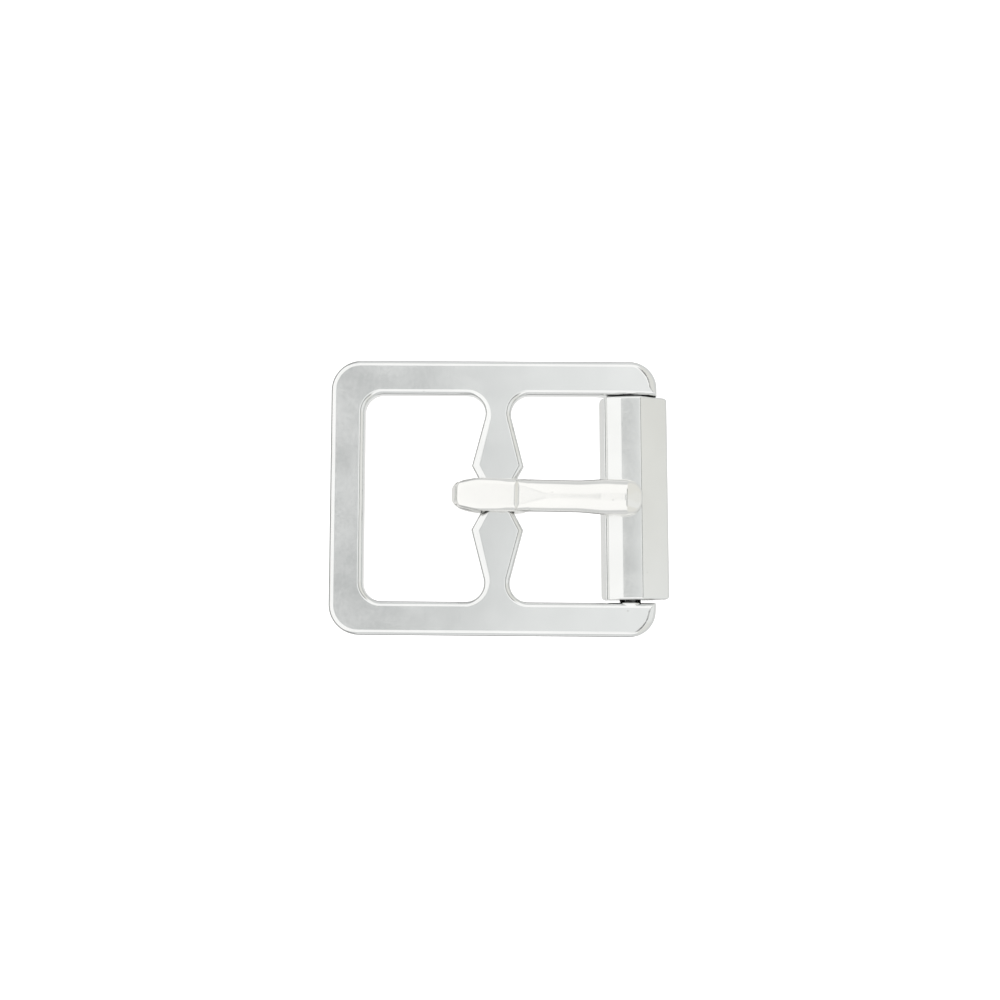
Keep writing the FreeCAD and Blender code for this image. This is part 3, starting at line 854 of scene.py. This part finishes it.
def upper_sky(nodes, east, north, aside):
    """A white tent with a warm east, a grey panel overhead and a dark gap beside the panel."""
    colour = nodes.blend(nodes.ramp(east, *WARM_EDGE), WHITE_TENT, WARM_EAST)
    shade = nodes.product(nodes.ramp(east, *SHADE_EDGE), band(nodes, north, SHADE_SOUTH, SHADE_NORTH))
    colour = nodes.blend(shade, colour, PALE_SHADE)
    colour = nodes.blend(nodes.ramp(aside, *SIDE_EDGE), colour, SIDE_GREY)
    gap = nodes.product(band(nodes, east, GAP_WEST, GAP_EAST), nodes.ramp(aside, *GAP_SIDES, 1.0, 0.0))
    colour = nodes.blend(gap, colour, GAP_DARK)
    panel = nodes.product(
        band(nodes, east, PANEL_WEST, PANEL_EAST),
        band(nodes, north, PANEL_SOUTH, PANEL_NORTH),
    )
    tone = nodes.blend(nodes.ramp(east, *PANEL_CHANGE), PANEL_DARK, PANEL_PALE)
    return nodes.blend(panel, colour, tone)


def lower_sky(nodes, east, down):
    """What the pieces' steep sides reflect, below the horizon."""
    west = nodes.blend(nodes.ramp(down, *LOW_WEST_EDGE), LOW_WEST_DARK, LOW_WEST_PALE)
    side = nodes.blend(nodes.ramp(down, *LOW_SIDE_EDGE), LOW_SIDE_RIM, LOW_SIDE_DARK)
    side = nodes.blend(nodes.ramp(down, *LOW_SIDE_BASE_EDGE), side, LOW_SIDE_BASE)
    low = nodes.blend(nodes.ramp(east, *LOW_WEST_END, 1.0, 0.0), side, west)
    return nodes.blend(nodes.ramp(east, *LOW_EAST_EDGE), low, LOW_EAST)


def studio_sky():
    """A sky whose colour depends on direction only, and a plain pale backdrop behind the buckle."""
    world = bpy.data.worlds.new("studio")
    bpy.context.scene.world = world
    world.use_nodes = True
    nodes = Nodes(world.node_tree)
    axes = nodes.add("ShaderNodeSeparateXYZ")
    nodes.put(axes.inputs[0], nodes.add("ShaderNodeTexCoord").outputs["Generated"])
    east, north, up = axes.outputs
    colour = upper_sky(nodes, east, north, nodes.math("ABSOLUTE", north))
    down = nodes.product(up, -1.0)
    colour = nodes.blend(nodes.ramp(down, *HORIZON), colour, lower_sky(nodes, east, down))
    seen = nodes.add("ShaderNodeLightPath").outputs["Is Camera Ray"]
    colour = nodes.blend(seen, colour, BACKDROP)
    nodes.put(world.node_tree.nodes["Background"].inputs["Color"], colour)


TABLE_HALF = 1.5  # metres
TABLE_GAP = 0.05  # millimetres under the buckle
TABLE_GLOW = 0.85


def light_table():
    """A pale table that glows softly, so that the buckle throws no hard shadow."""
    mesh = bmesh.new()
    bmesh.ops.create_grid(mesh, x_segments=1, y_segments=1, size=TABLE_HALF)
    data = bpy.data.meshes.new("light_table")
    mesh.to_mesh(data)
    mesh.free()
    table = bpy.data.objects.new("light_table", data)
    table.location.z = cad_low.z - TABLE_GAP * MM
    bpy.context.scene.collection.objects.link(table)
    material = bpy.data.materials.new("light_table")
    material.use_nodes = True
    shader = material.node_tree.nodes["Principled BSDF"]
    shader.inputs["Base Color"].default_value = (0.8, 0.8, 0.8, 1)
    shader.inputs["Roughness"].default_value = 0.9
    shader.inputs["Specular IOR Level"].default_value = 0.0
    shader.inputs["Emission Color"].default_value = (1, 1, 1, 1)
    shader.inputs["Emission Strength"].default_value = TABLE_GLOW
    data.materials.append(material)
    table.visible_glossy = False


LENS, SENSOR = 72.07, 36.0
CAMERA_PLACE = (5.332, -17.7, 250.02)  # millimetres
CAMERA_LOOK = (-0.0217, 0.0713, -0.9972)
CAMERA_UP = (-0.0068, 0.9974, 0.0715)
NEAREST, FARTHEST = 0.01, 10  # metres


def make_camera():
    """A quarter of a metre above the buckle, a little towards the roller and the front."""
    data = bpy.data.cameras.new("camera")
    data.sensor_width = SENSOR
    data.lens = LENS
    data.clip_start, data.clip_end = NEAREST, FARTHEST
    camera = bpy.data.objects.new("camera", data)
    bpy.context.scene.collection.objects.link(camera)
    bpy.context.scene.camera = camera
    look = Vector(CAMERA_LOOK).normalized()
    right = look.cross(Vector(CAMERA_UP)).normalized()
    turn = Matrix((right, right.cross(look), -look)).transposed().to_4x4()
    camera.matrix_world = Matrix.Translation(Vector(CAMERA_PLACE) * MM) @ turn


make_camera()
make_frame(steel("frame_steel", (0.90, 0.905, 0.90), 0.14, streaks=1.3, peel=1.1, wave=1.1))
make_prong(steel("prong_steel", (0.94, 0.935, 0.915), 0.14, streaks=0.0, peel=0.4, wave=2.5))
make_roller(steel("roller_steel", (0.895, 0.90, 0.89), 0.16, streaks=0.0, peel=0.5, wave=1.5))
studio_sky()
light_table()
bpy.context.scene.view_settings.view_transform = "Standard"
